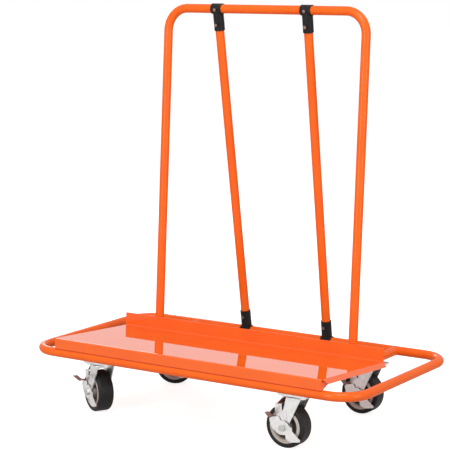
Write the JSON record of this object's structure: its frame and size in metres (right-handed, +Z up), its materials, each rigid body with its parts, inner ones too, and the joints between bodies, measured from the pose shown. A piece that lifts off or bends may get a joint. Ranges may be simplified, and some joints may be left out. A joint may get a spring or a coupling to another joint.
{
  "type": "drywall cart",
  "caption": "Tube-framed panel cart: a tilted sheet deck with a low back panel, a leaning U-frame with clamped rear braces, and braked swivel casters.",
  "frame": {"origin": "on the floor under the middle of the base loop", "axes": "+X along the cart's length, +Y from the loading side to the braces, +Z up"},
  "size_m": [1.178, 0.6626, 1.2457],
  "materials": {
    "orange_paint": "glossy orange powder coat",
    "deck_paint": "high-gloss orange powder coat",
    "black_clamp": "rough black powder coat",
    "zinc": "bright zinc plate",
    "tread": "smooth black rubber",
    "core": "cream moulded core",
    "pedal": "dark red dipped coating"
  },
  "bodies": {
    "frame": {"base_loop": "orange_paint", "cross_member_left": "orange_paint", "cross_member_right": "orange_paint", "deck": "deck_paint", "deck_supports": "orange_paint", "upright_left": "orange_paint", "upright_right": "orange_paint", "top_bar_joiner": "zinc", "foot_plates": "orange_paint", "socket_left": "zinc", "socket_right": "zinc", "socket_bolts": "zinc", "brace_left": "orange_paint", "brace_right": "orange_paint", "clamp_top_left_front": "black_clamp", "clamp_top_left_back": "black_clamp", "clamp_top_right_front": "black_clamp", "clamp_top_right_back": "black_clamp", "clamp_foot_left_front": "black_clamp", "clamp_foot_left_back": "black_clamp", "clamp_foot_right_front": "black_clamp", "clamp_foot_right_back": "black_clamp", "clamp_bolts": "zinc", "clamp_nuts": "zinc", "caster_mounts": "zinc", "caster_screws": "zinc", "kingpins": "zinc", "swivel_balls": "zinc", "caster_plate_front_left": "zinc", "caster_plate_front_right": "zinc", "caster_plate_rear_left": "zinc", "caster_plate_rear_right": "zinc"},
    "swivel_front_left": {"fork_front_left": "zinc", "axle_front_left": "zinc", "brake_housing_front_left": "zinc"},
    "wheel_front_left": {"tyre_front_left": "tread", "wheel_core_front_left": "core"},
    "pedal_front_left": {"brake_lever_front_left": "zinc", "brake_pedal_front_left": "pedal"},
    "swivel_front_right": {"fork_front_right": "zinc", "axle_front_right": "zinc", "brake_housing_front_right": "zinc"},
    "wheel_front_right": {"tyre_front_right": "tread", "wheel_core_front_right": "core"},
    "pedal_front_right": {"brake_lever_front_right": "zinc", "brake_pedal_front_right": "pedal"},
    "swivel_rear_left": {"fork_rear_left": "zinc", "axle_rear_left": "zinc", "brake_housing_rear_left": "zinc"},
    "wheel_rear_left": {"tyre_rear_left": "tread", "wheel_core_rear_left": "core"},
    "pedal_rear_left": {"brake_lever_rear_left": "zinc", "brake_pedal_rear_left": "pedal"},
    "swivel_rear_right": {"fork_rear_right": "zinc", "axle_rear_right": "zinc", "brake_housing_rear_right": "zinc"},
    "wheel_rear_right": {"tyre_rear_right": "tread", "wheel_core_rear_right": "core"},
    "pedal_rear_right": {"brake_lever_rear_right": "zinc", "brake_pedal_rear_right": "pedal"}
  },
  "joints": [
    {"name": "swivel_front_left", "type": "hinge", "parent": "frame", "child": "swivel_front_left", "pos_m": [-0.324, -0.268, 0.145], "axis": [0, 0, 1], "continuous": true},
    {"name": "roll_front_left", "type": "hinge", "parent": "swivel_front_left", "child": "wheel_front_left", "pos_m": [-0.34784, -0.25532, 0.0635], "axis": [0.4695, 0.8829, 0], "continuous": true},
    {"name": "brake_front_left", "type": "hinge", "parent": "swivel_front_left", "child": "pedal_front_left", "pos_m": [-0.36488, -0.28737, 0.0635], "axis": [-0.4695, -0.8829, 0], "range_deg": [0, 8]},
    {"name": "swivel_front_right", "type": "hinge", "parent": "frame", "child": "swivel_front_right", "pos_m": [0.374, -0.268, 0.145], "axis": [0, 0, 1], "continuous": true},
    {"name": "roll_front_right", "type": "hinge", "parent": "swivel_front_right", "child": "wheel_front_right", "pos_m": [0.347, -0.268, 0.0635], "axis": [0, 1, 0], "continuous": true},
    {"name": "brake_front_right", "type": "hinge", "parent": "swivel_front_right", "child": "pedal_front_right", "pos_m": [0.347, -0.3043, 0.0635], "axis": [0, -1, 0], "range_deg": [0, 8]},
    {"name": "swivel_rear_left", "type": "hinge", "parent": "frame", "child": "swivel_rear_left", "pos_m": [-0.324, 0.172, 0.145], "axis": [0, 0, 1], "continuous": true},
    {"name": "roll_rear_left", "type": "hinge", "parent": "swivel_rear_left", "child": "wheel_rear_left", "pos_m": [-0.34937, 0.16276, 0.0635], "axis": [-0.342, 0.9397, 0], "continuous": true},
    {"name": "brake_rear_left", "type": "hinge", "parent": "swivel_rear_left", "child": "pedal_rear_left", "pos_m": [-0.33696, 0.12865, 0.0635], "axis": [0.342, -0.9397, 0], "range_deg": [0, 8]},
    {"name": "swivel_rear_right", "type": "hinge", "parent": "frame", "child": "swivel_rear_right", "pos_m": [0.374, 0.172, 0.145], "axis": [0, 0, 1], "continuous": true},
    {"name": "roll_rear_right", "type": "hinge", "parent": "swivel_rear_right", "child": "wheel_rear_right", "pos_m": [0.34702, 0.17294, 0.0635], "axis": [0.0349, 0.9994, 0], "continuous": true},
    {"name": "brake_rear_right", "type": "hinge", "parent": "swivel_rear_right", "child": "pedal_rear_right", "pos_m": [0.34575, 0.13666, 0.0635], "axis": [-0.0349, -0.9994, 0], "range_deg": [0, 8]}
  ]
}
